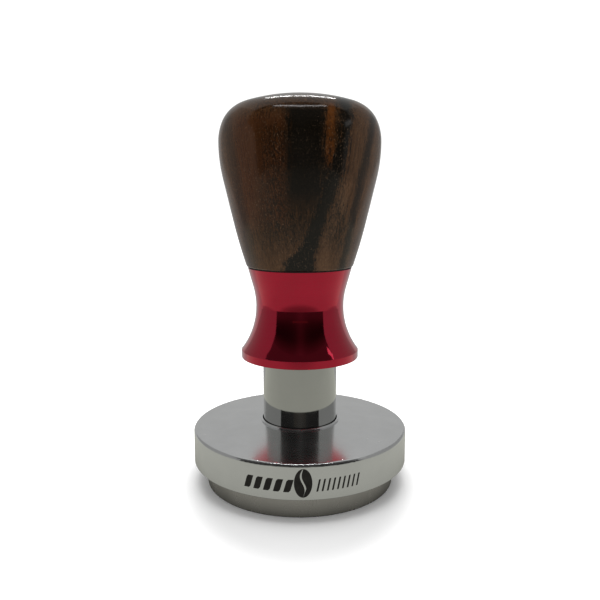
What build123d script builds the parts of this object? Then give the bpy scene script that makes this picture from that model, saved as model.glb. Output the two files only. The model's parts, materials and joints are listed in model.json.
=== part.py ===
"""Spring-calibrated espresso tamper with a free levelling ring.

Millimetres, +Z up. The origin is the centre of the tamping face, so the whole tool
stands on Z = 0 and its axis is the Z axis.
"""
import os
from math import asin, degrees

from build123d import *

# ---------------------------------------------------------------- driving dimensions
# Tamping base
BASE_R = 29.2               # 58.4 mm, for a standard 58 mm filter basket
BASE_BAND_H = 7.0           # full-diameter band that runs in the basket
BASE_H = 10.0
BASE_RELIEF = 0.6           # the top of the base is this much smaller in radius
BASE_EDGE = 0.3             # rounded lower edge
BASE_TOP_BREAK = 0.4        # bevel of the upper edge
# Levelling ring
RING_R = 33.2
RING_BOTTOM = 7.06          # underside of the ring when it rests on the base
RING_RIM_TOP = 17.3         # top of the vertical rim
RING_HUB_TOP = 18.95        # height of the cone at the neck
RING_NECK_R = 12.35         # small rounded neck round the stem
RING_NECK_TOP = 19.5
RING_RECESS_R = 29.7
RING_CEILING = 10.45
RING_EDGE = 0.9             # rounded upper edge of the rim
RING_LOWER_BREAK = 0.15
# Stem
STEM_R = 11.45
STEM_BORE_R = 9.2
STEM_FLOOR = 15.0           # top of the solid floor inside the tube
STEM_TOP = 56.0
SPIGOT_R = 6.0              # threaded end that screws into the base
# Handle travel and spring
PRESS_TRAVEL = 6.0
SPRING_LENGTH = 26.0        # between its seats, handle released
SPRING_MEAN_R = 7.2
SPRING_WIRE = 2.0
SPRING_PITCH = 3.1
ROD_R = 4.0
ROD_THREAD_R = 3.0
# Collar
COLLAR_BOTTOM = 39.36
COLLAR_RIM_R = 18.08
COLLAR_RIM_H = 2.4
COLLAR_WAIST_R = 13.47
COLLAR_WAIST_Z = 55.3
FLARE_END = (14.25, 61.1)   # end of the curve above the waist
COLLAR_TOP_R = 15.87
COLLAR_TOP = 67.0
COLLAR_BORE_R = 12.3
# Wooden handle
GASKET_T = 0.3
HANDLE_FOOT_R = 16.15
HANDLE_MAX_R = 24.1
HANDLE_MAX_Z = 104.0
HANDLE_TOP = 117.95
FLANK_START = (20.06, 81.2) # the flank is straight between these two points
FLANK_END = (22.82, 93.1)
SHOULDER_END = (22.91, 109.9)
CROWN_R = 56.6              # radius of the shallow domed top
CROWN_EDGE_R = 16.8
# Fits
RUNNING = 0.05              # radial clearance of every sliding or turning fit
FREE = 0.3                  # radial clearance where nothing should touch
LOOSE = 0.1                 # radial play of washers and bumpers on the rod
FLAT_PLAY = 0.2             # radial play of flat washers inside larger parts

os.makedirs("parts", exist_ok=True)


def turned(*corners):
    """Add the solid that a closed outline of (radius, height) corners sweeps about Z."""
    with BuildSketch(Plane.XZ) as outline:
        with BuildLine():
            Polyline(*corners, close=True)
        make_face()
    revolve(outline.sketch, axis=Axis.Z)


def sleeve(inner_r, outer_r, bottom, top):
    """Add a plain ring, washer or bush between two heights."""
    with BuildSketch(Plane.XY.offset(bottom)) as section:
        Circle(outer_r)
        Circle(inner_r, mode=Mode.SUBTRACT)
    extrude(section.sketch, amount=top - bottom)


def finish_part(builder, label):
    """Name a finished sub-part and write it."""
    builder.part.label = label
    export_step(builder.part, f"parts/{label}.step")


# ---------------------------------------------------------------- tamping base
BUFFER_IN, BUFFER_OUT = 21.0, 23.0
BUFFER_GROOVE = 0.8
SPIGOT_HOLE_BOTTOM = 3.0
BAND_STEP = 0.4             # bevel from the full-diameter band to the relieved top

with BuildPart() as tamping_base:
    with BuildSketch(Plane.XZ):
        with BuildLine():
            Polyline(
                (0, 0),
                (BASE_R, 0),
                (BASE_R, BASE_BAND_H),
                (BASE_R - BASE_RELIEF, BASE_BAND_H + BAND_STEP),
                (BASE_R - BASE_RELIEF, BASE_H),
                (0, BASE_H),
                close=True,
            )
        make_face()
    revolve(axis=Axis.Z)
    lower_edge = tamping_base.edges().filter_by(GeomType.CIRCLE).sort_by(Axis.Z)[0]
    fillet(lower_edge, radius=BASE_EDGE)
    upper_edge = tamping_base.edges().filter_by(GeomType.CIRCLE).sort_by(Axis.Z)[-1]
    chamfer(upper_edge, length=BASE_TOP_BREAK)
    # Threaded hole for the stem and the shallow groove of the rubber buffer.
    with BuildSketch(Plane.XY.offset(SPIGOT_HOLE_BOTTOM)):
        Circle(SPIGOT_R)
    extrude(amount=BASE_H, mode=Mode.SUBTRACT)
    with BuildSketch(Plane.XY.offset(BASE_H - BUFFER_GROOVE)):
        Circle(BUFFER_OUT)
        Circle(BUFFER_IN, mode=Mode.SUBTRACT)
    extrude(amount=BASE_H, mode=Mode.SUBTRACT)
finish_part(tamping_base, "tamping_base")

# The rubber ring stands 0.4 mm proud, and the levelling ring rests on it.
BUFFER_TOP = RING_CEILING - RUNNING

with BuildPart() as buffer_ring:
    sleeve(BUFFER_IN, BUFFER_OUT, BASE_H - BUFFER_GROOVE, BUFFER_TOP)
finish_part(buffer_ring, "buffer_ring")

# ---------------------------------------------------------------- stem
BASE_WASHER_T = 0.5
STEM_BOTTOM = BASE_H + BASE_WASHER_T
SPIGOT_BOTTOM = 3.5
SPIGOT_BREAK = 0.8
MOUTH_BREAK = 0.5           # bevels of the tube's mouth
ROD_HOLE_BOTTOM = 5.5

with BuildPart() as base_washer:
    sleeve(SPIGOT_R + FLAT_PLAY, STEM_R - FLAT_PLAY, BASE_H, STEM_BOTTOM)
finish_part(base_washer, "base_washer")

with BuildPart() as stem:
    turned(
        (ROD_R, ROD_HOLE_BOTTOM),
        (0, ROD_HOLE_BOTTOM),
        (0, SPIGOT_BOTTOM),
        (SPIGOT_R, SPIGOT_BOTTOM),
        (SPIGOT_R, STEM_BOTTOM),
        (STEM_R, STEM_BOTTOM),
        (STEM_R, STEM_TOP),
        (STEM_BORE_R, STEM_TOP),
        (STEM_BORE_R, STEM_FLOOR),
        (ROD_R, STEM_FLOOR),
    )
    spigot_rim = stem.edges().filter_by(GeomType.CIRCLE).sort_by(Axis.Z)[0]
    chamfer(spigot_rim, length=SPIGOT_BREAK)
    mouth = stem.edges().filter_by(GeomType.CIRCLE).group_by(Axis.Z)[-1]
    chamfer(mouth, length=MOUTH_BREAK)
finish_part(stem, "stem")

# ---------------------------------------------------------------- spring and its seats
SEAT_T = 1.2
SEAT_R = 8.8
SEAT_HOLE_R = ROD_R + FREE
PILOT_R = 6.0               # locates the inside of the coil
PILOT_H = 2.0
SPRING_BOTTOM = STEM_FLOOR + SEAT_T
SPRING_TOP = SPRING_BOTTOM + SPRING_LENGTH
THRUST_T = 1.0
PLUNGER_BOTTOM = SPRING_TOP + SEAT_T + THRUST_T

with BuildPart() as spring_seat_bottom:
    sleeve(SEAT_HOLE_R, SEAT_R, STEM_FLOOR, SPRING_BOTTOM)
    sleeve(SEAT_HOLE_R, PILOT_R, SPRING_BOTTOM, SPRING_BOTTOM + PILOT_H)
finish_part(spring_seat_bottom, "spring_seat_bottom")

# Compression spring with flat ground ends: the coil runs past both ends and is cut level.
with BuildPart() as calibrated_spring:
    coil_start = SPRING_BOTTOM - SPRING_WIRE / 2
    coil_height = SPRING_LENGTH + SPRING_WIRE
    with BuildLine():
        coil = Helix(
            pitch=SPRING_PITCH,
            height=coil_height,
            radius=SPRING_MEAN_R,
            center=(0, 0, coil_start),
        )
    with BuildSketch(Plane(origin=coil @ 0, z_dir=coil % 0)):
        Circle(SPRING_WIRE / 2)
    sweep(path=coil, is_frenet=True)
    split(bisect_by=Plane.XY.offset(SPRING_BOTTOM), keep=Keep.TOP)
    split(bisect_by=Plane.XY.offset(SPRING_TOP), keep=Keep.BOTTOM)
finish_part(calibrated_spring, "calibrated_spring")

with BuildPart() as spring_seat_top:
    sleeve(SEAT_HOLE_R, SEAT_R, SPRING_TOP, SPRING_TOP + SEAT_T)
    sleeve(SEAT_HOLE_R, PILOT_R, SPRING_TOP - PILOT_H, SPRING_TOP)
finish_part(spring_seat_top, "spring_seat_top")

with BuildPart() as thrust_washer:
    sleeve(SEAT_HOLE_R, SEAT_R - FLAT_PLAY, SPRING_TOP + SEAT_T, PLUNGER_BOTTOM)
finish_part(thrust_washer, "thrust_washer")

# ---------------------------------------------------------------- tie rod and its stop
WEB_TOP = 55.0              # top of the plunger's solid foot
BUMPER_T = 1.5
WASHER_T = 1.2
STOP_R = 6.0
ROD_SHOULDER = WEB_TOP + BUMPER_T
ROD_END_GAP = 0.5
ROD_BOTTOM = ROD_HOLE_BOTTOM + ROD_END_GAP
ROD_BREAK = 0.5
ROD_SOCKET_FLATS = 3.0      # hexagon key size
ROD_SOCKET_DEPTH = 3.0
NUT_BOTTOM = ROD_SHOULDER + WASHER_T
NUT_FLATS = 10.0
NUT_HEX_H = 4.5
NUT_COLLAR_R = 4.9
NUT_COLLAR_H = 1.7
NUT_TOP = NUT_BOTTOM + NUT_HEX_H + NUT_COLLAR_H
NYLON_R = 4.2
NYLON_SETBACK = 0.3
ROD_PROUD = 0.8             # the rod's end stands out of the nut
ROD_TOP = NUT_TOP + ROD_PROUD

with BuildPart() as tie_rod:
    turned(
        (0, ROD_BOTTOM),
        (ROD_R, ROD_BOTTOM),
        (ROD_R, ROD_SHOULDER),
        (ROD_THREAD_R, ROD_SHOULDER),
        (ROD_THREAD_R, ROD_TOP),
        (0, ROD_TOP),
    )
    ends = tie_rod.edges().filter_by(GeomType.CIRCLE).sort_by(Axis.Z)
    chamfer([ends[0], ends[-1]], length=ROD_BREAK)
    # Hexagon socket for screwing the rod into the stem.
    with BuildSketch(Plane.XY.offset(ROD_TOP - ROD_SOCKET_DEPTH)):
        RegularPolygon(radius=ROD_SOCKET_FLATS / 2, side_count=6, major_radius=False)
    extrude(amount=ROD_SOCKET_DEPTH, mode=Mode.SUBTRACT)
finish_part(tie_rod, "tie_rod")

with BuildPart() as stop_bumper:
    sleeve(ROD_R + LOOSE, STOP_R, WEB_TOP, ROD_SHOULDER)
finish_part(stop_bumper, "stop_bumper")

with BuildPart() as stop_washer:
    sleeve(ROD_THREAD_R + LOOSE, STOP_R, ROD_SHOULDER, NUT_BOTTOM)
finish_part(stop_washer, "stop_washer")

with BuildPart() as stop_nut:
    with BuildSketch(Plane.XY.offset(NUT_BOTTOM)):
        RegularPolygon(radius=NUT_FLATS / 2, side_count=6, major_radius=False)
    extrude(amount=NUT_HEX_H)
    with BuildSketch(Plane.XY.offset(NUT_BOTTOM + NUT_HEX_H)):
        Circle(NUT_COLLAR_R)
    extrude(amount=NUT_COLLAR_H)
    with BuildSketch(Plane.XY.offset(NUT_BOTTOM)):
        Circle(ROD_THREAD_R)
    extrude(amount=NUT_TOP - NUT_BOTTOM, mode=Mode.SUBTRACT)
    with BuildSketch(Plane.XY.offset(NUT_BOTTOM + NUT_HEX_H)):
        Circle(NYLON_R)
    extrude(amount=NUT_COLLAR_H, mode=Mode.SUBTRACT)
finish_part(stop_nut, "stop_nut")

with BuildPart() as stop_nut_insert:
    sleeve(ROD_THREAD_R, NYLON_R, NUT_BOTTOM + NUT_HEX_H, NUT_TOP - NYLON_SETBACK)
finish_part(stop_nut_insert, "stop_nut_insert")

# ---------------------------------------------------------------- levelling ring
BUSH_OUT_R = 13.6
RING_LIP_R = STEM_R + FREE  # clear hole at the top of the ring
RING_LIP_BOTTOM = 17.2
NECK_EDGE = 0.3             # rounded edges of the neck
SEAL_T = 1.0
CLIP_BOTTOM = 11.2
CLIP_T = 1.0
CLIP_GROOVE_R = 14.7
BUSH_BOTTOM = CLIP_BOTTOM + CLIP_T
BUSH_TOP = RING_LIP_BOTTOM - SEAL_T

with BuildPart() as levelling_ring:
    turned(
        (RING_RECESS_R, RING_BOTTOM),
        (RING_R, RING_BOTTOM),
        (RING_R, RING_RIM_TOP),
        (RING_NECK_R, RING_HUB_TOP),
        (RING_NECK_R, RING_NECK_TOP),
        (RING_LIP_R, RING_NECK_TOP),
        (RING_LIP_R, RING_LIP_BOTTOM),
        (BUSH_OUT_R, RING_LIP_BOTTOM),
        (BUSH_OUT_R, BUSH_BOTTOM),
        (CLIP_GROOVE_R, BUSH_BOTTOM),
        (CLIP_GROOVE_R, CLIP_BOTTOM),
        (BUSH_OUT_R, CLIP_BOTTOM),
        (BUSH_OUT_R, RING_CEILING),
        (RING_RECESS_R, RING_CEILING),
    )
    round_edges = levelling_ring.edges().filter_by(GeomType.CIRCLE)
    widest_edges = round_edges.group_by(SortBy.RADIUS)[-1].sort_by(Axis.Z)
    fillet(widest_edges[-1], radius=RING_EDGE)
    chamfer(widest_edges[0], length=RING_LOWER_BREAK)
    neck_edges = levelling_ring.edges().filter_by(GeomType.CIRCLE).group_by(Axis.Z)[-1]
    fillet(neck_edges.sort_by(SortBy.RADIUS)[-1], radius=NECK_EDGE)
finish_part(levelling_ring, "levelling_ring")

with BuildPart() as ring_bush:
    sleeve(STEM_R + RUNNING, BUSH_OUT_R - RUNNING, BUSH_BOTTOM + RUNNING, BUSH_TOP)
finish_part(ring_bush, "ring_bush")

with BuildPart() as wiper_seal:
    sleeve(STEM_R + RUNNING, BUSH_OUT_R - RUNNING, BUSH_TOP, RING_LIP_BOTTOM - RUNNING)
finish_part(wiper_seal, "wiper_seal")

# Internal circlip: an open ring with an eye at each end.
CLIP_IN_R = 12.5
CLIP_GAP_DEG = 18.0         # half of the open angle
CLIP_EYE_R = 1.1
CLIP_EYE_HOLE_R = 0.5
CLIP_EYE_INSET = 0.45       # the eyes' centres lie just outside the inner edge
CLIP_EYE_DEG = CLIP_GAP_DEG + 3

with BuildPart() as bush_retaining_ring:
    with BuildSketch(Plane.XY.offset(CLIP_BOTTOM)):
        Circle(CLIP_GROOVE_R)
        Circle(CLIP_IN_R, mode=Mode.SUBTRACT)
        with BuildLine():
            reach = Vector(2 * CLIP_GROOVE_R, 0)
            Polyline(
                (0, 0),
                reach.rotate(Axis.Z, -CLIP_GAP_DEG),
                reach.rotate(Axis.Z, CLIP_GAP_DEG),
                close=True,
            )
        make_face(mode=Mode.SUBTRACT)
        eyes = PolarLocations(
            CLIP_IN_R + CLIP_EYE_INSET,
            2,
            start_angle=-CLIP_EYE_DEG,
            angular_range=2 * CLIP_EYE_DEG,
            endpoint=True,
        )
        with eyes:
            Circle(CLIP_EYE_R)
            Circle(CLIP_EYE_HOLE_R, mode=Mode.SUBTRACT)
    extrude(amount=CLIP_T)
finish_part(bush_retaining_ring, "bush_retaining_ring")

# ---------------------------------------------------------------- collar and plunger
PLUNGER_RIM_R = 13.2        # threaded into the top of the collar
PLUNGER_RIM_BOTTOM = STEM_TOP + PRESS_TRAVEL + FREE
PLUNGER_R = STEM_BORE_R - FREE
CAVITY_R = 6.3
PLUNGER_BUSH_R = 5.6
NIPPLE_R = 8.0
NIPPLE_TOP = 79.0
COLLAR_LIP_TOP = 40.6
COLLAR_SEAL_TOP = 41.8
LINER_TOP = 58.0
RIM_BREAK = 0.1             # broken edges of the rim
SPANNER_R = 10.6
SPANNER_HOLE_R = 1.1
SPANNER_HOLE_DEPTH = 2.5

with BuildPart() as collar:
    with BuildSketch(Plane.XZ):
        with BuildLine():
            rim_top = COLLAR_BOTTOM + COLLAR_RIM_H
            rim = Line((COLLAR_RIM_R, COLLAR_BOTTOM), (COLLAR_RIM_R, rim_top - RIM_BREAK))
            step = Line(rim @ 1, (COLLAR_RIM_R - RIM_BREAK, rim_top))
            waist = (COLLAR_WAIST_R, COLLAR_WAIST_Z)
            TangentArc(waist, step @ 1, tangent=(0, -1))
            TangentArc(waist, FLARE_END, tangent=(0, 1))
            Polyline(
                FLARE_END,
                (COLLAR_TOP_R, COLLAR_TOP),
                (PLUNGER_RIM_R, COLLAR_TOP),
                (PLUNGER_RIM_R, PLUNGER_RIM_BOTTOM),
                (COLLAR_BORE_R, PLUNGER_RIM_BOTTOM),
                (COLLAR_BORE_R, COLLAR_LIP_TOP),
                (STEM_R + FREE, COLLAR_LIP_TOP),
                (STEM_R + FREE, COLLAR_BOTTOM),
                (COLLAR_RIM_R, COLLAR_BOTTOM),
            )
        make_face()
    revolve(axis=Axis.Z)
    bottom_edges = collar.edges().filter_by(GeomType.CIRCLE).group_by(Axis.Z)[0]
    chamfer(bottom_edges.sort_by(SortBy.RADIUS)[-1], length=RIM_BREAK)
finish_part(collar, "collar")

with BuildPart() as collar_seal:
    sleeve(STEM_R + RUNNING, COLLAR_BORE_R, COLLAR_LIP_TOP, COLLAR_SEAL_TOP)
finish_part(collar_seal, "collar_seal")

with BuildPart() as collar_bush:
    sleeve(STEM_R + RUNNING, COLLAR_BORE_R, COLLAR_SEAL_TOP, LINER_TOP)
finish_part(collar_bush, "collar_bush")

with BuildPart() as plunger:
    turned(
        (PLUNGER_BUSH_R, PLUNGER_BOTTOM),
        (PLUNGER_R, PLUNGER_BOTTOM),
        (PLUNGER_R, PLUNGER_RIM_BOTTOM),
        (PLUNGER_RIM_R, PLUNGER_RIM_BOTTOM),
        (PLUNGER_RIM_R, COLLAR_TOP),
        (NIPPLE_R, COLLAR_TOP),
        (NIPPLE_R, NIPPLE_TOP),
        (CAVITY_R, NIPPLE_TOP),
        (CAVITY_R, WEB_TOP),
        (PLUNGER_BUSH_R, WEB_TOP),
    )
    # Blind holes for a pin spanner.
    with BuildSketch(Plane.XY.offset(COLLAR_TOP - SPANNER_HOLE_DEPTH)):
        with PolarLocations(SPANNER_R, 4):
            Circle(SPANNER_HOLE_R)
    extrude(amount=SPANNER_HOLE_DEPTH, mode=Mode.SUBTRACT)
finish_part(plunger, "plunger")

with BuildPart() as plunger_bush:
    sleeve(ROD_R + RUNNING, PLUNGER_BUSH_R, PLUNGER_BOTTOM, WEB_TOP)
finish_part(plunger_bush, "plunger_bush")

# ---------------------------------------------------------------- handle
HANDLE_BOTTOM = COLLAR_TOP + GASKET_T
INSERT_FLANGE_R = 14.2
INSERT_FLANGE_T = 2.0
INSERT_R = 9.8
INSERT_TOP = 82.5
INSERT_ROOF_T = 3.0
GASKET_SETBACK = 0.25
FOOT_EDGE = 0.8             # rounded edge at the foot of the handle
SCREW_PCR = 12.0            # radius of the circle of screws
SCREW_R = 1.25
SCREW_HEAD_R = 2.1
SCREW_HEAD_H = 1.3
SCREW_LENGTH = 9.0
SCREW_COUNT = 3
SCREW_TURN_DEG = 45
SCREW_TAPER_DEG = 33        # slope that brings the head down to the shank
SCREW_SOCKET_FLATS = 1.5
KEY_GROOVES = (72.5, 76.5)  # adhesive grooves round the insert
KEY_GROOVE_W = 1.2
KEY_GROOVE_DEPTH = 0.4

with BuildPart() as handle_gasket:
    sleeve(NIPPLE_R + FREE, COLLAR_TOP_R - GASKET_SETBACK, COLLAR_TOP, HANDLE_BOTTOM)
finish_part(handle_gasket, "handle_gasket")


def screw_shape(mode):
    """Countersunk screws up into the wood, from the foot of the handle."""
    head_plane = Plane.XY.offset(HANDLE_BOTTOM)
    with BuildSketch(head_plane) as heads:
        with PolarLocations(SCREW_PCR, SCREW_COUNT, start_angle=SCREW_TURN_DEG):
            Circle(SCREW_HEAD_R)
    extrude(heads.sketch, amount=SCREW_HEAD_H, taper=SCREW_TAPER_DEG, mode=mode)
    with BuildSketch(head_plane) as shanks:
        with PolarLocations(SCREW_PCR, SCREW_COUNT, start_angle=SCREW_TURN_DEG):
            Circle(SCREW_R)
    extrude(shanks.sketch, amount=SCREW_LENGTH, mode=mode)


with BuildPart() as handle_insert:
    turned(
        (NIPPLE_R, HANDLE_BOTTOM),
        (INSERT_FLANGE_R, HANDLE_BOTTOM),
        (INSERT_FLANGE_R, HANDLE_BOTTOM + INSERT_FLANGE_T),
        (INSERT_R, HANDLE_BOTTOM + INSERT_FLANGE_T),
        (INSERT_R, INSERT_TOP),
        (0, INSERT_TOP),
        (0, INSERT_TOP - INSERT_ROOF_T),
        (NIPPLE_R, INSERT_TOP - INSERT_ROOF_T),
    )
    for height in KEY_GROOVES:
        with BuildSketch(Plane.XY.offset(height)):
            Circle(INSERT_FLANGE_R)
            Circle(INSERT_R - KEY_GROOVE_DEPTH, mode=Mode.SUBTRACT)
        extrude(amount=KEY_GROOVE_W, mode=Mode.SUBTRACT)
    screw_shape(Mode.SUBTRACT)
finish_part(handle_insert, "handle_insert")

with BuildPart() as insert_screws:
    screw_shape(Mode.ADD)
    # Hexagon sockets in the heads.
    with BuildSketch(Plane.XY.offset(HANDLE_BOTTOM)):
        with PolarLocations(SCREW_PCR, SCREW_COUNT, start_angle=SCREW_TURN_DEG):
            RegularPolygon(radius=SCREW_SOCKET_FLATS / 2, side_count=6, major_radius=False)
    extrude(amount=SCREW_HEAD_H, mode=Mode.SUBTRACT)
finish_part(insert_screws, "insert_screws")

with BuildPart() as wood_handle:
    with BuildSketch(Plane.XZ):
        with BuildLine():
            flange_top = HANDLE_BOTTOM + INSERT_FLANGE_T
            widest = (HANDLE_MAX_R, HANDLE_MAX_Z)
            flank = Line(FLANK_END, FLANK_START)
            TangentArc(FLANK_START, (HANDLE_FOOT_R, HANDLE_BOTTOM), tangent=flank % 1)
            TangentArc(widest, FLANK_END, tangent=(0, -1))
            TangentArc(widest, SHOULDER_END, tangent=(0, 1))
            crown_half_angle = degrees(asin(CROWN_EDGE_R / CROWN_R))
            crown = CenterArc(
                (0, HANDLE_TOP - CROWN_R), CROWN_R, 90, -crown_half_angle
            )
            TangentArc(crown @ 1, SHOULDER_END, tangent=crown % 1)
            Polyline(
                (0, HANDLE_TOP),
                (0, INSERT_TOP),
                (INSERT_R, INSERT_TOP),
                (INSERT_R, flange_top),
                (INSERT_FLANGE_R, flange_top),
                (INSERT_FLANGE_R, HANDLE_BOTTOM),
                (HANDLE_FOOT_R, HANDLE_BOTTOM),
            )
        make_face()
    revolve(axis=Axis.Z)
    lowest_edges = wood_handle.edges().filter_by(GeomType.CIRCLE).group_by(Axis.Z)[0]
    fillet(lowest_edges.sort_by(SortBy.RADIUS)[-1], radius=FOOT_EDGE)
    screw_shape(Mode.SUBTRACT)
finish_part(wood_handle, "wood_handle")
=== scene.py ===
"""Looks of a spring-calibrated espresso tamper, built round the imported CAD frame.

Everything is in metres, in the CAD frame: +Z up the tool's axis, the marked side of the ring towards -Y.
"""
import json
import math
from functools import cached_property

import bmesh
import bpy
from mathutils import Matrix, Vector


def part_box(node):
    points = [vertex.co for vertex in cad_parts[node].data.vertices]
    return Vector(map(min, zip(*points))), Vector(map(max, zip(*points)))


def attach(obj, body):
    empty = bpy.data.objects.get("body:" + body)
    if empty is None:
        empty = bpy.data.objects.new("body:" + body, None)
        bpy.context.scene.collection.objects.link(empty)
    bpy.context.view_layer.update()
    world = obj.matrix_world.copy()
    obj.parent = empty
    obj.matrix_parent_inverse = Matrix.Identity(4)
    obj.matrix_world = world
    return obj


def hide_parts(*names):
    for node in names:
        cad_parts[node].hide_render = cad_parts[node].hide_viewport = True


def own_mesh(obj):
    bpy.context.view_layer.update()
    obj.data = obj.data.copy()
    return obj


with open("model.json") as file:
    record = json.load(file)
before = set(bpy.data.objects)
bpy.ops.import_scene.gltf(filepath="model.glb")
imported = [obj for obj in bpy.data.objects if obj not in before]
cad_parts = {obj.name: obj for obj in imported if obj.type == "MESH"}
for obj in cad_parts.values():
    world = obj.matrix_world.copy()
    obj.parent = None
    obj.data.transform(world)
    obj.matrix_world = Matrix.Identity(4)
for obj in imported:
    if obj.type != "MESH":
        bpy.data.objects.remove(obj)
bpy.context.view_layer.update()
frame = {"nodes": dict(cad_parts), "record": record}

MM = 0.001
scene = bpy.context.scene
scene.view_settings.view_transform = "Standard"


# ------------------------------------------------------------------ places read from the frame
def radius_of(node):
    """Largest radius of a turned node."""
    low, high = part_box(node)
    return (high.x - low.x) / 2


# ------------------------------------------------------------------ material graphs
class Graph:
    """A node material around one shader, with short calls for the nodes that feed it."""

    def __init__(self, name, kind="ShaderNodeBsdfPrincipled", **settings):
        self.material = bpy.data.materials.new(name)
        self.material.use_nodes = True
        self.tree = self.material.node_tree
        self.tree.nodes.clear()
        self.shader = self.tree.nodes.new(kind)
        output = self.tree.nodes.new("ShaderNodeOutputMaterial")
        self.tree.links.new(self.shader.outputs[0], output.inputs["Surface"])
        self.set(**settings)

    @cached_property
    def place(self):
        """Where a point lies on the object."""
        return self.node("ShaderNodeTexCoord").outputs["Object"]

    def set(self, **settings):
        """Set or link the shader's sockets; underscores stand for spaces."""
        for key, value in settings.items():
            self.feed(self.shader.inputs[key.replace("_", " ")], value)

    def feed(self, socket, value):
        if isinstance(value, bpy.types.NodeSocket):
            self.tree.links.new(value, socket)
        elif isinstance(value, (tuple, list)) and socket.type == "RGBA":
            socket.default_value = (*value, 1.0) if len(value) == 3 else value
        else:
            socket.default_value = value

    def node(self, kind, inputs=None, **properties):
        made = self.tree.nodes.new(kind)
        for key, value in properties.items():
            setattr(made, key, value)
        for key, value in (inputs or {}).items():
            self.feed(made.inputs[key], value)
        return made

    def math(self, operation, a, b=0.0):
        made = self.node("ShaderNodeMath", operation=operation)
        for socket, value in zip(made.inputs, (a, b)):
            self.feed(socket, value)
        return made.outputs[0]

    def plus(self, a, b):
        return self.math("ADD", a, b)

    def minus(self, a, b):
        return self.math("SUBTRACT", a, b)

    def times(self, a, b):
        return self.math("MULTIPLY", a, b)

    def larger(self, a, b):
        return self.math("MAXIMUM", a, b)

    def size(self, value):
        """The value without its sign."""
        return self.math("ABSOLUTE", value)

    def mapped(self, scale=(1, 1, 1), rotation=(0, 0, 0)):
        inputs = {"Vector": self.place, "Scale": scale, "Rotation": rotation}
        return self.node("ShaderNodeMapping", inputs).outputs[0]

    def vector(self, x, y, z):
        return self.node("ShaderNodeCombineXYZ", {"X": x, "Y": y, "Z": z}).outputs[0]

    def split(self, vector):
        return tuple(self.node("ShaderNodeSeparateXYZ", {"Vector": vector}).outputs)

    def length(self, vector):
        return self.node("ShaderNodeVectorMath", {0: vector}, operation="LENGTH").outputs["Value"]

    def noise(self, vector, scale, detail=3.0, roughness=0.5, distortion=0.0):
        inputs = {
            "Vector": vector,
            "Scale": scale,
            "Detail": detail,
            "Roughness": roughness,
            "Distortion": distortion,
        }
        return self.node("ShaderNodeTexNoise", inputs).outputs["Fac"]

    def spread(self, value, from_low, from_high, to_low, to_high, smooth=False):
        """Map a value from one range to another, clamped."""
        kind = "SMOOTHSTEP" if smooth else "LINEAR"
        inputs = {0: value, 1: from_low, 2: from_high, 3: to_low, 4: to_high}
        return self.node("ShaderNodeMapRange", inputs, interpolation_type=kind).outputs[0]

    def ease(self, value, from_low, from_high, to_low, to_high):
        return self.spread(value, from_low, from_high, to_low, to_high, smooth=True)

    def window(self, value, low, rise, high, fall):
        """1 between low and high, easing over rise below and fall above."""
        up = self.ease(value, low - rise, low, 0.0, 1.0)
        return self.times(up, self.ease(value, high, high + fall, 1.0, 0.0))

    def mix(self, factor, a, b):
        made = self.node("ShaderNodeMix", data_type="RGBA")
        for socket, value in ((made.inputs[0], factor), (made.inputs[6], a), (made.inputs[7], b)):
            self.feed(socket, value)
        return made.outputs[2]

    def fade(self, value, low, high, stops, mode="LINEAR"):
        """A number that follows (share, number) stops while the value goes from low to high."""
        made = self.node("ShaderNodeValToRGB", {"Fac": self.spread(value, low, high, 0.0, 1.0)})
        ramp = made.color_ramp
        ramp.interpolation = mode
        while len(ramp.elements) < len(stops):
            ramp.elements.new(0.5)
        for element, (share, number) in zip(ramp.elements, stops):
            element.position = share
            element.color = (number, number, number, 1.0)
        return made.outputs["Color"]

    def curve(self, value, reach, points):
        """Smooth curve through (value, result) points; reach is more than any result."""
        low = points[0][0]
        high = points[-1][0]
        stops = [((at - low) / (high - low), result / reach) for at, result in points]
        return self.times(self.fade(value, low, high, stops, mode="CARDINAL"), reach)

    def bump(self, height, distance):
        return self.node("ShaderNodeBump", {"Height": height, "Distance": distance}).outputs[0]


def turned_metal(name, colour, roughness, line_pitch, line_depth, tint=0.06, spread=0.3, grooves=0.0):
    """Turned metal: fine lathe lines round the axis, cloudy roughness and a few faint scratches."""
    g = Graph(name, Metallic=1.0)
    x, y, z = g.split(g.place)
    r = g.math("SQRT", g.plus(g.times(x, x), g.times(y, y)))
    lines = g.noise(g.vector(r, 0.0, z), 1.0 / line_pitch, detail=4.0, roughness=0.7)
    clouds = g.noise(g.place, 160.0, detail=4.0)
    scratches = g.noise(g.mapped(scale=(1, 1, 0.12), rotation=(0.5, 0.9, 0.3)), 900.0, detail=2.0)
    marks = g.spread(scratches, 0.66, 0.74, 0.0, 1.0)
    low = tuple(c * (1 - tint) for c in colour)
    high = tuple(min(1.0, c * (1 + tint)) for c in colour)
    rough = g.spread(clouds, 0.3, 0.7, roughness * (1 - spread), roughness * (1 + spread))
    scratch_roughness = roughness * 0.5
    g.set(
        Base_Color=g.mix(g.spread(g.plus(lines, clouds), 0.75, 1.25, 0.0, 1.0), low, high),
        Roughness=g.plus(rough, g.times(marks, scratch_roughness)),
        Normal=g.bump(lines, line_depth),
    )
    if grooves:
        # The tangent points away from the axis, and upward on a side whose normal does that already.
        axis_gap = 1e-5
        upward = 0.8
        outward = [g.math("DIVIDE", side, g.larger(r, axis_gap)) for side in (x, y)]
        g.set(Anisotropic=grooves, Tangent=g.vector(*outward, upward))
    return g


def plain_metal(name, colour, roughness):
    """Small hidden hardware: plated or drawn metal with blotchy plating and handling marks."""
    return turned_metal(name, colour, roughness, 0.25 * MM, 0.004 * MM, tint=0.12).material


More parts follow.
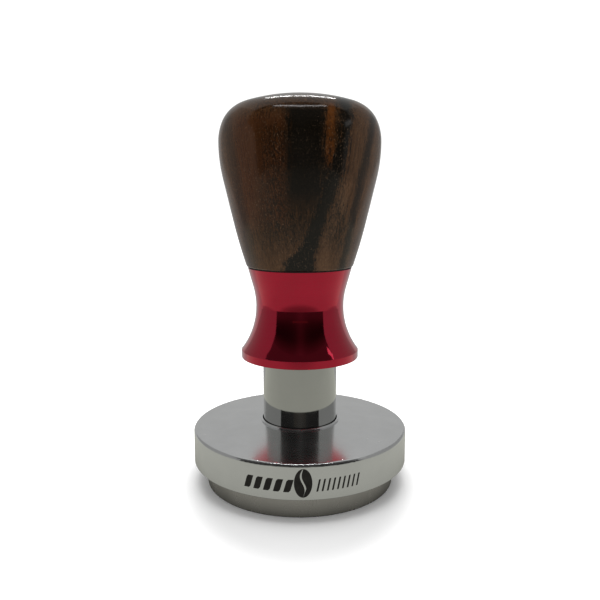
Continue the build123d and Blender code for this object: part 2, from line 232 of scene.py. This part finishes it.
def rubber_material():
    g = Graph("black_rubber", Specular_IOR_Level=0.35)
    grain = g.noise(g.place, 2600.0)
    dust = g.noise(g.place, 300.0, detail=4.0)
    g.set(
        Base_Color=g.mix(g.spread(dust, 0.5, 0.75, 0.0, 0.6), (0.012, 0.012, 0.012), (0.035, 0.033, 0.03)),
        Roughness=g.spread(grain, 0.3, 0.7, 0.55, 0.75),
        Normal=g.bump(grain, 0.01 * MM),
    )
    return g.material


def plastic_material():
    """White acetal with faint turning marks."""
    g = Graph("white_acetal", Subsurface_Weight=0.08, Subsurface_Radius=(0.8 * MM, 0.8 * MM, 0.7 * MM))
    turned = g.noise(g.mapped(scale=(1, 1, 14)), 420.0)
    g.set(
        Base_Color=g.mix(turned, (0.72, 0.71, 0.67), (0.82, 0.81, 0.78)),
        Roughness=g.spread(turned, 0.3, 0.7, 0.36, 0.5),
        Normal=g.bump(turned, 0.006 * MM),
    )
    return g.material


def anodised_material():
    """Polished, dyed aluminium under a clear oxide skin, with faint turning lines and tiny pits."""
    g = turned_metal("red_anodised", (0.64, 0.006, 0.044), 0.08, 0.35 * MM, 0.00015 * MM, tint=0.05)
    pits = g.noise(g.place, 5200.0, detail=1.0)
    lines = g.noise(g.mapped(scale=(0.02, 0.02, 1.0)), 2400.0)
    height = g.plus(g.times(g.spread(pits, 0.7, 0.8, 0.0, -1.0), 0.6), lines)
    g.set(
        Normal=g.bump(height, 0.00018 * MM),
        Coat_Weight=1.0,
        Coat_Roughness=0.02,
        Coat_IOR=1.42,
    )
    return g.material


# Heights up the tool and places across it, in millimetres, where the grain shows on the front of the handle.
BAND_MIDDLE = (
    (62.0, 0.0), (70.2, 0.1), (73.6, 2.2), (77.9, 3.7), (82.0, 5.3), (86.1, 6.5), (90.1, 7.8), (94.1, 9.3),
    (98.0, 10.3), (101.9, 11.3), (105.7, 12.0), (114.0, 12.2),
)
BAND_HALF_WIDTH = (
    (62.0, 4.9), (70.2, 4.2), (73.6, 2.8), (77.9, 2.2), (86.0, 2.2), (98.0, 2.1), (101.9, 1.6), (105.7, 1.6),
    (114.0, 1.8),
)
BAND_REACH = 20.0
WIDEST = 104.0              # height of the handle's widest part, where the fibres are least squeezed
SIDE_BANDS_FROM = 105.0     # height at which the two thinner bands have the next two places
THIN_BAND = 19.5
LEFT_BAND = -19.6
ORANGE_STREAK = 8.2
ORANGE_HEIGHT = 106.0       # height at which the orange streak has that place


def wood_material():
    """Dark striped hardwood turned across flat-sawn growth layers, under a satin lacquer."""
    g = Graph("dark_wood", Specular_IOR_Level=0.27)
    x, y, z = g.split(g.mapped(scale=(1 / MM, 1 / MM, 1 / MM)))

    def uneven(noise, amount):
        """Noise made to swing either way round zero."""
        return g.times(g.minus(noise, 0.5), amount)

    # Layers wander slowly along the grain and across the thickness.
    wander = g.noise(g.mapped(scale=(40, 26, 22)), 1.0, detail=2.0)
    wobble = g.noise(g.mapped(scale=(240, 150, 60)), 1.0)
    behind = g.ease(y, -12.0, 14.0, 0.0, 1.0)
    across = g.plus(g.plus(x, uneven(wobble, 1.3)), g.times(g.times(g.minus(wander, 0.5), behind), 16.0))
    squeeze = g.plus(1.0, g.times(g.minus(WIDEST, z), 0.0085))
    fibre = g.times(x, squeeze)
    band_middle = g.curve(z, BAND_REACH, BAND_MIDDLE)
    band_half = g.curve(z, BAND_REACH, BAND_HALF_WIDTH)

    def grain(along_x, along_y, along_z, **settings):
        """Noise with its own scale along each axis, squeezed with the fibres."""
        stretched = g.vector(g.times(fibre, along_x), g.times(y, along_y), g.times(z, along_z))
        return g.noise(stretched, 1.0, **settings)

    # Fine fibre streaks, stretched along the grain.
    streaks = grain(1.9, 1.3, 0.10, detail=4.0, roughness=0.65)
    threads = grain(5.5, 3.6, 0.22, roughness=0.6)
    broad = grain(0.34, 0.20, 0.035, detail=2.0)
    slanted = g.times(g.plus(z, g.times(x, 0.7)), 0.7)
    curl = g.noise(
        g.vector(g.times(x, 1.5), g.times(y, 1.2), slanted), 1.0, detail=4.0, roughness=0.6, distortion=1.1
    )

    # Brown wood, paler at the sides, low down and just right of the main band.
    brown = g.mix(g.spread(streaks, 0.36, 0.66, 0.0, 1.0), (0.0085, 0.0034, 0.0010), (0.042, 0.0180, 0.0056))
    lighter = g.mix(g.spread(threads, 0.35, 0.7, 0.0, 1.0), (0.036, 0.0170, 0.0072), (0.082, 0.0410, 0.0190))
    side = g.ease(g.size(across), 9.0, 19.0, 0.0, 0.62)
    low_part = g.ease(z, 68.0, 85.0, 0.60, 0.0)
    beside = g.size(g.minus(across, g.plus(g.plus(band_middle, band_half), 2.4)))
    beside = g.times(g.ease(beside, 0.6, 3.0, 1.0, 0.0), g.ease(z, 90.0, 98.0, 1.0, 0.0))
    pale = g.plus(g.larger(g.larger(side, beside), low_part), uneven(broad, 1.1))
    colour = g.mix(g.larger(g.math("MINIMUM", pale, 1.0), 0.0), brown, lighter)

    # Reddish heartwood on the left.
    red = g.times(g.window(across, -16.0, 5.0, -5.0, 4.0), g.window(z, 84.0, 8.0, 108.0, 4.0))
    reddish = g.mix(streaks, (0.013, 0.0036, 0.0006), (0.054, 0.0165, 0.0038))
    colour = g.mix(g.times(red, 0.75), colour, reddish)

    # Orange streak.
    streak_middle = g.plus(ORANGE_STREAK, g.times(g.minus(z, ORANGE_HEIGHT), 0.03))
    orange = g.ease(g.size(g.minus(across, streak_middle)), 0.4, 1.7, 1.0, 0.0)
    orange = g.times(orange, g.window(z, 101.0, 8.0, 110.5, 4.0))
    orange_wood = g.mix(threads, (0.045, 0.0120, 0.0016), (0.105, 0.0330, 0.0050))
    colour = g.mix(g.times(orange, 0.9), colour, orange_wood)

    # Near-black heart above the middle, breaking up downward into a mottled figure.
    ragged = g.plus(across, g.plus(uneven(streaks, 7.0), uneven(curl, 5.0)))
    heart = g.times(g.window(ragged, -1.9, 3.5, 5.4, 3.5), g.window(z, 91.0, 13.0, 110.5, 3.5))
    mottled = g.times(g.window(ragged, -8.0, 6.0, 10.5, 3.0), g.window(z, 80.0, 12.0, 104.0, 8.0))
    figure = g.spread(curl, 0.36, 0.64, 0.88, 0.15)

    # Main dark band, the thin one to its right and a faint one on the left.
    band_off = g.minus(g.size(g.minus(across, band_middle)), band_half)
    band_edge = g.plus(uneven(streaks, 3.2), uneven(curl, 4.5))
    main_band = g.ease(g.plus(band_off, band_edge), -0.9, 1.1, 1.0, 0.0)
    drop = g.minus(SIDE_BANDS_FROM, z)
    thin_off = g.size(g.minus(across, g.minus(THIN_BAND, g.times(drop, 0.20))))
    thin_band = g.ease(g.plus(thin_off, uneven(streaks, 2.0)), 0.4, 1.8, 0.80, 0.0)
    left_off = g.size(g.minus(across, g.plus(LEFT_BAND, g.times(drop, 0.16))))
    left_band = g.ease(left_off, 0.4, 2.2, 0.45, 0.0)
    black = g.larger(heart, g.times(mottled, figure))
    for band in (main_band, thin_band, left_band):
        black = g.larger(black, band)
    colour = g.mix(black, colour, g.mix(threads, (0.0012, 0.0010, 0.0006), (0.0060, 0.0042, 0.0024)))

    # Open pores show as short pale flecks, fewer in the heart.
    pores = grain(4.6, 4.6, 1.9, detail=2.0, roughness=0.4)
    pore_field = g.noise(g.mapped(scale=(120, 120, 60)), 1.0, detail=2.0)
    flecks = g.times(g.spread(pores, 0.63, 0.72, 0.0, 1.0), g.spread(pore_field, 0.36, 0.6, 0.25, 0.9))
    shown = g.times(flecks, g.spread(heart, 0.0, 1.0, 1.0, 0.35))
    colour = g.mix(g.times(shown, 0.75), colour, (0.110, 0.070, 0.042))

    relief = g.minus(g.times(threads, 0.5), g.times(shown, 0.5))
    g.set(
        Base_Color=colour,
        Roughness=g.spread(streaks, 0.3, 0.7, 0.12, 0.17),
        Normal=g.bump(relief, 0.0018 * MM),
        Coat_Weight=0.15,
        Coat_Roughness=0.035,
        Coat_IOR=1.5,
    )
    return g.material


MATERIALS = {
    "satin_steel": turned_metal(
        "satin_steel",
        (0.805, 0.815, 0.825),
        0.17,
        0.09 * MM,
        0.0004 * MM,
        tint=0.03,
        spread=0.14,
        grooves=0.55,
    ).material,
    "base_steel": turned_metal(
        "base_steel", (0.62, 0.60, 0.585), 0.24, 0.12 * MM, 0.001 * MM, grooves=0.6
    ).material,
    "polished_steel": turned_metal(
        "polished_steel", (0.565, 0.57, 0.555), 0.055, 0.2 * MM, 0.0001 * MM, tint=0.02
    ).material,
    "spring_steel": plain_metal("spring_steel", (0.30, 0.31, 0.33), 0.25),
    "zinc_steel": plain_metal("zinc_steel", (0.58, 0.60, 0.62), 0.28),
    "machined_aluminium": plain_metal("machined_aluminium", (0.78, 0.78, 0.79), 0.24),
    "bronze": plain_metal("bronze", (0.42, 0.24, 0.10), 0.38),
    "brass": plain_metal("brass", (0.72, 0.52, 0.22), 0.22),
    "black_rubber": rubber_material(),
    "white_plastic": plastic_material(),
    "red_anodised": anodised_material(),
    "dark_wood": wood_material(),
}
slots = {part["node"]: part["material_slot"] for part in frame["record"]["subparts"]}
for node_name, node in frame["nodes"].items():
    node.data.materials.clear()
    node.data.materials.append(MATERIALS[slots[node_name]])


# ------------------------------------------------------------------ spring
def build_coil():
    """A copy of the coil on the base, standing in for the rigid CAD spring."""
    coil = bpy.data.objects.new("spring_coil", frame["nodes"]["calibrated_spring"].data.copy())
    scene.collection.objects.link(coil)
    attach(coil, "base")
    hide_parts("calibrated_spring")
    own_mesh(coil)


build_coil()


# ------------------------------------------------------------------ mark on the ring
MARK_DEPTH = 0.03 * MM
MARK_PROUD = 0.004 * MM     # how far the mark stands out of the steel, so that it shows
MARK_REACH = 18             # how far the cuts go either way along the ring, in millimetres: past the mark
CUTS_PER_MM = 2             # how finely the mark is cut to follow the ring's curve
WELD = 1e-7                 # points closer than this are joined


def mark_material():
    """Dark laser marking: a thin matt oxide, a little uneven."""
    g = Graph("laser_mark", Metallic=0.6, Specular_IOR_Level=0.3)
    grain = g.noise(g.place, 3000.0)
    clouds = g.noise(g.place, 500.0)
    g.set(
        Base_Color=g.mix(clouds, (0.014, 0.013, 0.012), (0.030, 0.028, 0.025)),
        Roughness=g.spread(grain, 0.3, 0.7, 0.42, 0.6),
        Normal=g.bump(grain, 0.002 * MM),
    )
    return g.material


def bar_outline(centre, bottom, top, width, lean):
    """A slanted bar with cut corners, as (along, height) points in millimetres."""
    cut = width * 0.25
    half = width / 2
    return [
        (centre - half - lean, bottom),
        (centre + half - cut - lean, bottom),
        (centre + half - lean, bottom + cut),
        (centre + half + lean, top),
        (centre - half + cut + lean, top),
        (centre - half + lean, top - cut),
    ]


def bar_row(count, first, pitch, bottom, top, climb, width, lean):
    """Equal bars side by side, each climb higher than the one before."""
    bars = []
    for i in range(count):
        bars.append(bar_outline(first + pitch * i, bottom + climb * i, top + climb * i, width, lean))
    return bars


def bean_outline(side, centre, bottom, top, width, gap):
    """One half of an upright coffee bean, cut from the other by a wavy crease."""
    middle = (bottom + top) / 2
    half_height = (top - bottom) / 2
    wave_depth = 0.13 * width
    steps = 26
    points = []
    for i in range(steps + 1):
        angle = math.pi * (i / steps - 0.5)
        points.append((centre + side * width / 2 * math.cos(angle), middle + half_height * math.sin(angle)))
    crease = []
    for i in range(1, steps):
        share = 1 - i / steps
        wave = wave_depth * math.sin(2 * math.pi * share)
        inset = gap / 2 * math.sqrt(math.sin(math.pi * share))
        crease.append((centre + wave + side * inset, bottom + (top - bottom) * share))
    return points + crease


def mark_outlines():
    """Bold bars, thin bars and the two halves of the bean between them."""
    bold = bar_row(5, first=-14.5, pitch=2.85, bottom=9.6, top=13.2, climb=-0.05, width=2.0, lean=0.45)
    thin = bar_row(9, first=5.1, pitch=1.45, bottom=9.5, top=13.0, climb=0.03, width=0.55, lean=0.35)
    bean = [bean_outline(side, centre=0.9, bottom=7.9, top=16.1, width=5.0, gap=0.55) for side in (-1, 1)]
    return bold + thin + bean


def build_mark():
    """Thin inlaid shapes that follow the front of the ring."""
    ring_r = radius_of("levelling_ring")
    mesh = bmesh.new()
    for outline in mark_outlines():
        mesh.faces.new([mesh.verts.new((a * MM, h * MM, 0)) for a, h in outline])
    bmesh.ops.triangulate(mesh, faces=mesh.faces[:])
    for i in range(-CUTS_PER_MM * MARK_REACH, CUTS_PER_MM * MARK_REACH + 1):
        everything = mesh.verts[:] + mesh.edges[:] + mesh.faces[:]
        cut = (i * MM / CUTS_PER_MM, 0, 0)
        bmesh.ops.bisect_plane(mesh, geom=everything, plane_co=cut, plane_no=(1, 0, 0), dist=WELD / 10)
    bmesh.ops.remove_doubles(mesh, verts=mesh.verts[:], dist=WELD)
    raised = bmesh.ops.extrude_face_region(mesh, geom=mesh.faces[:])["geom"]
    for vertex in (v for v in raised if isinstance(v, bmesh.types.BMVert)):
        vertex.co.z = MARK_DEPTH
    for vertex in mesh.verts:
        along, height, out = vertex.co
        radius = ring_r - MARK_DEPTH + out + MARK_PROUD
        angle = along / ring_r
        vertex.co = (radius * math.sin(angle), -radius * math.cos(angle), height)
    bmesh.ops.recalc_face_normals(mesh, faces=mesh.faces[:])
    data = bpy.data.meshes.new("ring_mark")
    mesh.to_mesh(data)
    mesh.free()
    data.materials.append(mark_material())
    mark = bpy.data.objects.new("ring_mark", data)
    scene.collection.objects.link(mark)
    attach(mark, "ring")


build_mark()


# ------------------------------------------------------------------ stage: floor, studio and camera
FLOOR_HALF = 3.0
TENT_HALF = 0.25            # half the light tent's width
TENT_BACK = 0.30
TENT_TOP = 0.40
ROOF_FRONT = 0.02
TABLE_FRONT = -0.34         # front edge of the paper that the tool stands on
PAPER_LIGHT = 0.37
# Front edge of the side walls, as (y, z), from the table up.
OPENING = (
    (-0.142, 0), (-0.146, 0.09), (-0.141, 0.135), (-0.121, 0.172), (-0.093, 0.206), (-0.046, 0.231),
)
# The backdrop slants from the table up to the tent's back.
BACKDROP_FOOT = 0.09
BACKDROP_TOP = 0.096
ROOM_HALF = 8.0
ROOM_FRONT = -0.9
CEILING = 1.1


def plain_emission(name, colour, strength):
    return Graph(name, "ShaderNodeEmission", Color=colour, Strength=strength).material


def table_emission():
    """The paper under the tool, with a painted contact shadow close round the base and painted falloff of
    light that dims it past the open front.
    """
    g = Graph("tent_table", "ShaderNodeEmission", Color=(1.0, 1.0, 0.89))
    contact_shadow_stops = ((0.0, 0.18), (0.13, 0.42), (0.33, 0.72), (0.6, 0.92), (1.0, 1.03))
    light_falloff_stops = (
        (0.0, 0.25), (0.24, 0.42), (0.34, 0.56), (0.44, 0.95), (0.64, 1.0), (0.8, 1.12), (1.0, 1.4),
    )
    # Painted shadow: the paper's light is cut close round the base.
    near = g.fade(g.length(g.place), 0.029, 0.059, contact_shadow_stops)
    # Painted light: the paper is brighter towards the back of the tent and dims past the open front.
    painted_light_falloff = g.fade(g.split(g.place)[1], TABLE_FRONT, 0.10, light_falloff_stops)
    g.set(Strength=g.times(g.times(near, painted_light_falloff), PAPER_LIGHT))
    return g.material


def room_emission():
    """The dim room in front of the tent, lighter in a soft middle column, low down and high up."""
    g = Graph("room", "ShaderNodeEmission", Color=(1.0, 0.97, 0.95))
    x, _, z = g.split(g.place)
    sideways = ((0.0, 0.008), (0.35, 0.010), (0.52, 0.040), (0.70, 0.010), (1.0, 0.008))
    upward = ((0.0, 0.05), (0.16, 0.04), (0.24, 0.008), (0.36, 0.0), (0.46, 0.012), (0.62, 0.05))
    column = g.fade(x, -0.6, 0.6, sideways, mode="B_SPLINE")
    height = g.fade(z, -0.4, 2.0, upward, mode="B_SPLINE")
    g.set(Strength=g.plus(column, height))
    return g.material


def panel(name, corners, material):
    """A flat studio panel that only shows in reflections."""
    mesh = bpy.data.meshes.new(name)
    mesh.from_pydata(corners, [], [tuple(range(len(corners)))])
    mesh.materials.append(material)
    made = bpy.data.objects.new(name, mesh)
    scene.collection.objects.link(made)
    made.visible_camera = False
    made.visible_diffuse = False
    made.visible_shadow = False
    made.visible_transmission = False


def upright_panel(name, y, x_range, z_range, material):
    left, right = x_range
    low, high = z_range
    panel(name, [(left, y, low), (right, y, low), (right, y, high), (left, y, high)], material)


def level_panel(name, z, x_range, y_range, material):
    left, right = x_range
    near, far = y_range
    panel(name, [(left, near, z), (right, near, z), (right, far, z), (left, far, z)], material)


def build_backdrop():
    """A white dome that only the camera sees."""
    mesh = bmesh.new()
    bmesh.ops.create_icosphere(mesh, subdivisions=4, radius=2 * FLOOR_HALF)
    data = bpy.data.meshes.new("backdrop")
    mesh.to_mesh(data)
    mesh.free()
    data.materials.append(plain_emission("backdrop_white", (1.0, 1.0, 1.0), 1.1))
    dome = bpy.data.objects.new("backdrop", data)
    scene.collection.objects.link(dome)
    dome.visible_diffuse = False
    dome.visible_glossy = False
    dome.visible_shadow = False
    dome.visible_transmission = False


def floor_material():
    """White paper with a painted glow that brightens it outside an oval round the base, so the oval keeps a
    painted shadow on top of the real one.
    """
    g = Graph(
        "floor_white",
        Base_Color=(0.84, 0.84, 0.84),
        Roughness=0.9,
        Specular_IOR_Level=0.0,
        Emission_Color=(1.0, 1.0, 1.0),
    )
    painted_shadow_oval = g.length(g.mapped(scale=(1.0, 0.62, 1.0)))
    # Painted light: emission whitens the floor outside the oval and leaves painted shade inside it.
    g.set(Emission_Strength=g.ease(painted_shadow_oval, 0.028, 0.044, 0.0, 0.6))
    return g.material


def build_floor():
    mesh = bpy.data.meshes.new("floor")
    half = FLOOR_HALF
    corners = [(-half, -half, 0), (half, -half, 0), (half, half, 0), (-half, half, 0)]
    mesh.from_pydata(corners, [], [(0, 1, 2, 3)])
    floor = bpy.data.objects.new("floor", mesh)
    scene.collection.objects.link(floor)
    mesh.materials.append(floor_material())
    floor.visible_glossy = False


def build_lamps():
    """Small lamps in a row at the tent's back, a soft arched one in front and one on the right wall."""
    white = (1.0, 1.0, 1.0)
    lamp = plain_emission("tent_lamp", white, 60.0)
    soft_lamp = plain_emission("tent_soft_lamp", white, 10.0)
    side_lamp = plain_emission("tent_side_lamp", white, 0.9)

    wall = TENT_HALF - 2 * MM
    slant = ((-0.118, 0.206), (-0.050, 0.228), (-0.036, 0.262), (-0.100, 0.252))
    panel("side_lamp", [(wall, y, z) for y, z in slant], side_lamp)

    lamps = 40
    pitch = 4.4 * MM
    half_width = 1.1 * MM
    row_y = TENT_BACK - 4 * MM
    shift = 2 * MM
    lamp_z = (0.372, 0.387)
    for i in range(lamps):
        x = (i - (lamps - 1) / 2) * pitch + shift
        across = (x - half_width, x + half_width)
        upright_panel("roof_lamp_%02d" % i, row_y, across, lamp_z, lamp)

    arch = ((-0.119, -0.020), (-0.062, -0.058), (0.002, -0.078), (0.066, -0.058), (0.122, -0.020))
    arch_z = TENT_TOP - 2 * MM
    arch_width = 14 * MM
    outer = [(x, y, arch_z) for x, y in arch]
    inner = [(x, y + arch_width, arch_z) for x, y in arch]
    panel("front_lamp", outer + inner[::-1], soft_lamp)


def build_tent():
    """The light tent, open in front, with the room outside it."""
    side = plain_emission("tent_side", (1.0, 1.0, 0.98), 0.27)
    pale = plain_emission("tent_back", (1.0, 1.0, 0.985), 0.42)
    roof = plain_emission("tent_roof", (1.0, 1.0, 0.98), 0.45)
    dark = plain_emission("room_dark", (1.0, 0.97, 0.97), 0.013)
    brown = plain_emission("room_brown", (1.0, 0.80, 0.60), 0.085)
    ceiling = plain_emission("room_ceiling", (1.0, 0.98, 0.95), 0.062)
    tent_width = (-TENT_HALF, TENT_HALF)
    room_width = (-ROOM_HALF, ROOM_HALF)

    for x, name in ((-TENT_HALF, "tent_left"), (TENT_HALF, "tent_right")):
        front_edge = [(x, y, z) for y, z in reversed(OPENING)]
        back_and_top = [(x, TENT_BACK, 0), (x, TENT_BACK, TENT_TOP), (x, ROOF_FRONT, TENT_TOP)]
        panel(name, back_and_top + front_edge, side)
    upright_panel("tent_back", TENT_BACK, tent_width, (BACKDROP_TOP, TENT_TOP), pale)
    foot_z = 0.5 * MM
    slope = [(-TENT_HALF, BACKDROP_FOOT, foot_z), (TENT_HALF, BACKDROP_FOOT, foot_z)]
    slope += [(TENT_HALF, TENT_BACK, BACKDROP_TOP), (-TENT_HALF, TENT_BACK, BACKDROP_TOP)]
    panel("tent_backdrop", slope, pale)
    level_panel("tent_roof", TENT_TOP, tent_width, (ROOF_FRONT, TENT_BACK), roof)
    level_panel("tent_table", 0.2 * MM, tent_width, (TABLE_FRONT, TENT_BACK), table_emission())
    upright_panel("tent_gap", TENT_BACK - 3 * MM, (0.200, 0.222), (0, TENT_TOP), dark)
    upright_panel("room", ROOM_FRONT, room_width, (-1.0, 2.4), room_emission())
    upright_panel("room_brown", TABLE_FRONT - 10 * MM, (-0.12, 0.12), (0.066, 0.078), brown)
    level_panel("room_ceiling", CEILING, room_width, (ROOM_FRONT, 0), ceiling)
    build_lamps()


build_backdrop()
build_floor()
build_tent()

world = bpy.data.worlds.new("world")
scene.world = world
world.use_nodes = True
world.node_tree.nodes["Background"].inputs["Color"].default_value = (1, 1, 1, 1)
world.node_tree.nodes["Background"].inputs["Strength"].default_value = 0.8
world.cycles_visibility.glossy = False

overhead = bpy.data.objects.new("overhead", bpy.data.lights.new("overhead", "AREA"))
scene.collection.objects.link(overhead)
overhead.data.size = 0.4
overhead.data.energy = 1.8
overhead.location = (0, 0.02, 0.6)
overhead.visible_glossy = False

CAMERA_TILT = 9.09          # degrees below level
camera = bpy.data.objects.new("camera", bpy.data.cameras.new("camera"))
scene.collection.objects.link(camera)
scene.camera = camera
camera.data.sensor_width = 36.0
camera.data.lens = 39.34
camera.data.clip_start = 0.01
camera.location = (0.00005, -0.19987, 0.08875)
camera.rotation_euler = (math.radians(90 - CAMERA_TILT), 0, 0)
